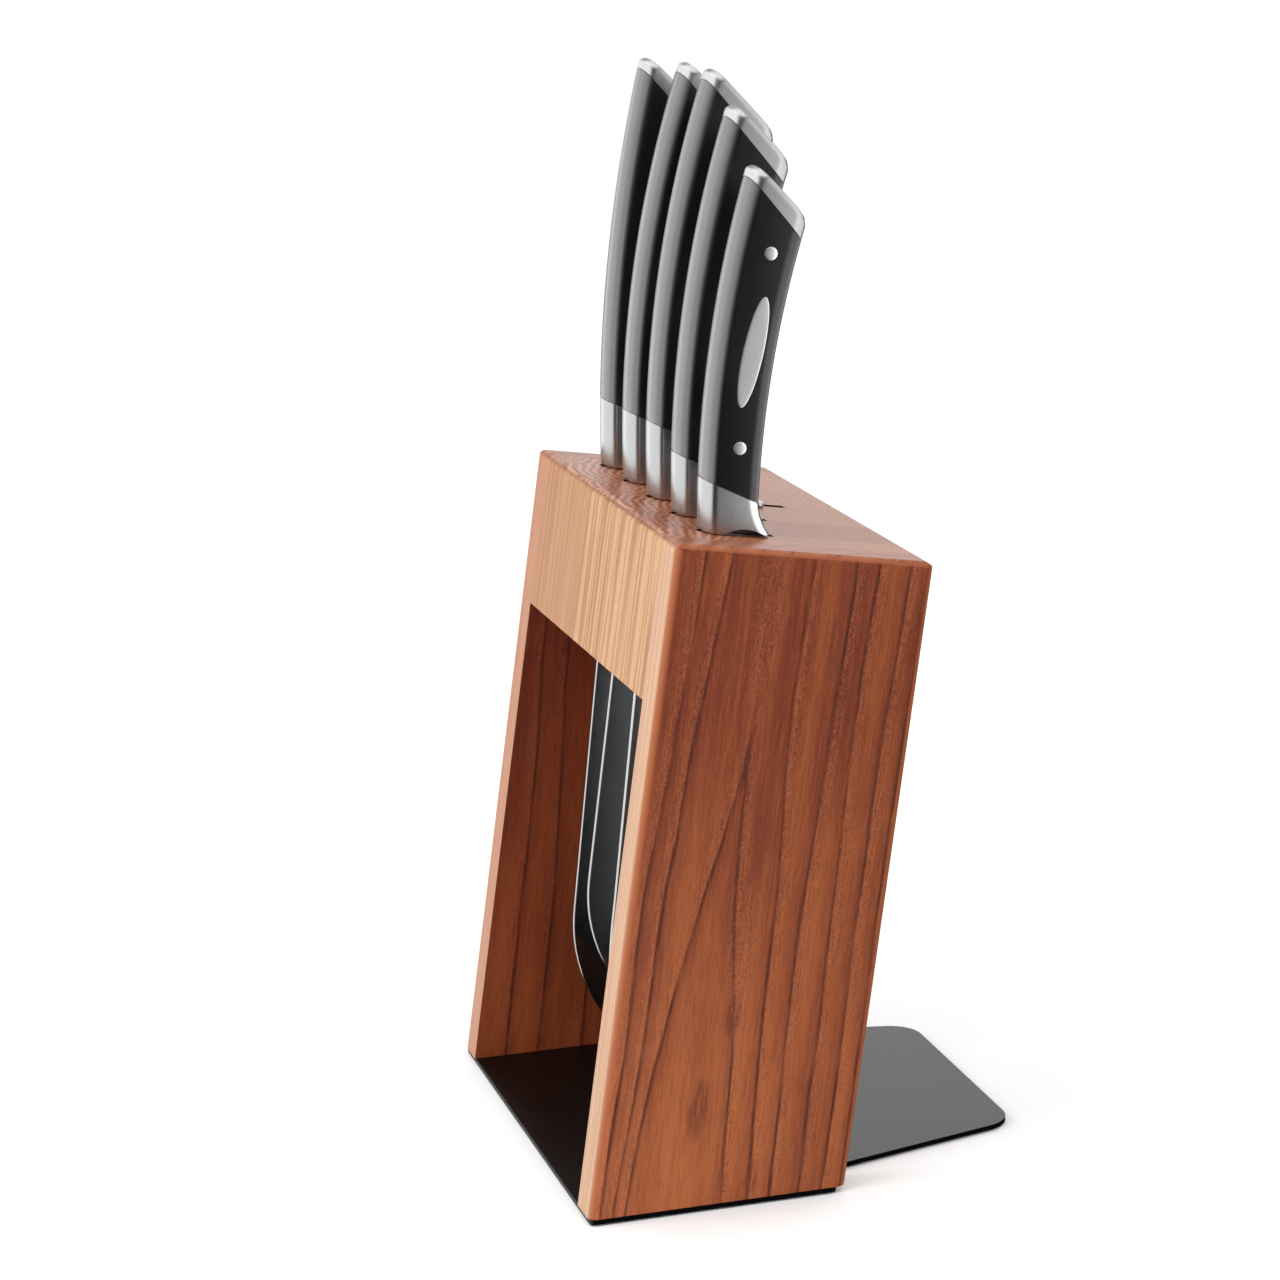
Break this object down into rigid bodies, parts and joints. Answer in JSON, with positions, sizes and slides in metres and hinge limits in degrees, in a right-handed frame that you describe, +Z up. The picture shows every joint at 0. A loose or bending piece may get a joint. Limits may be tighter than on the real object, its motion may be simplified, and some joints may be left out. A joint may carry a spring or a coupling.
{
  "type": "knife block with knives",
  "caption": "Leaning open-bay wooden knife block on a black steel plate with a tail, holding forged knives with black grips in its slotted bridge.",
  "frame": {"origin": "centre of the footprint, on the surface that the block stands on", "axes": "+Z up, X across the block, -Y towards the user: the block leans, and the plate's tail points, that way"},
  "size_m": [0.1574, 0.1464, 0.3298],
  "materials": {
    "panel_wood": "satin",
    "bridge_wood": "satin",
    "plate_black": "satin",
    "mat_rubber": "matte",
    "screw_steel": "satin",
    "steel": "satin",
    "grip_polymer": "satin",
    "rivet_steel": "satin"
  },
  "bodies": {
    "block": {"panel_left": "panel_wood", "panel_right": "panel_wood", "base_plate": "plate_black", "non_slip_sheet": "mat_rubber", "plate_screws": "screw_steel", "stave_1": "bridge_wood", "stave_2": "bridge_wood", "stave_3": "bridge_wood", "stave_4": "bridge_wood", "stave_5": "bridge_wood", "stave_6": "bridge_wood", "back_strip_santoku_large": "bridge_wood", "front_strip_santoku_large": "bridge_wood", "back_strip_santoku_small": "bridge_wood", "front_strip_santoku_small": "bridge_wood", "back_strip_carving": "bridge_wood", "front_strip_carving": "bridge_wood", "back_strip_utility": "bridge_wood", "front_strip_utility": "bridge_wood", "back_strip_paring": "bridge_wood", "front_strip_paring": "bridge_wood"},
    "santoku_large": {"santoku_large_blade": "steel", "santoku_large_handle": "grip_polymer", "santoku_large_cap": "steel", "santoku_large_rivets": "rivet_steel", "santoku_large_badges": "rivet_steel"},
    "santoku_small": {"santoku_small_blade": "steel", "santoku_small_handle": "grip_polymer", "santoku_small_cap": "steel", "santoku_small_rivets": "rivet_steel", "santoku_small_badges": "rivet_steel"},
    "carving": {"carving_blade": "steel", "carving_handle": "grip_polymer", "carving_cap": "steel", "carving_rivets": "rivet_steel", "carving_badges": "rivet_steel"},
    "utility": {"utility_blade": "steel", "utility_handle": "grip_polymer", "utility_cap": "steel", "utility_rivets": "rivet_steel", "utility_badges": "rivet_steel"},
    "paring": {"paring_blade": "steel", "paring_handle": "grip_polymer", "paring_cap": "steel", "paring_rivets": "rivet_steel", "paring_badges": "rivet_steel"}
  },
  "joints": [
    {"name": "santoku_large_lift", "type": "slide", "parent": "block", "child": "santoku_large", "axis": [0, -0.159, 0.9873], "range_m": [0, 0.203]},
    {"name": "santoku_small_lift", "type": "slide", "parent": "block", "child": "santoku_small", "axis": [0, -0.159, 0.9873], "range_m": [0, 0.184]},
    {"name": "carving_lift", "type": "slide", "parent": "block", "child": "carving", "axis": [0, -0.159, 0.9873], "range_m": [0, 0.198]},
    {"name": "utility_lift", "type": "slide", "parent": "block", "child": "utility", "axis": [0, -0.159, 0.9873], "range_m": [0, 0.16]},
    {"name": "paring_lift", "type": "slide", "parent": "block", "child": "paring", "axis": [0, -0.159, 0.9873], "range_m": [0, 0.1]}
  ]
}
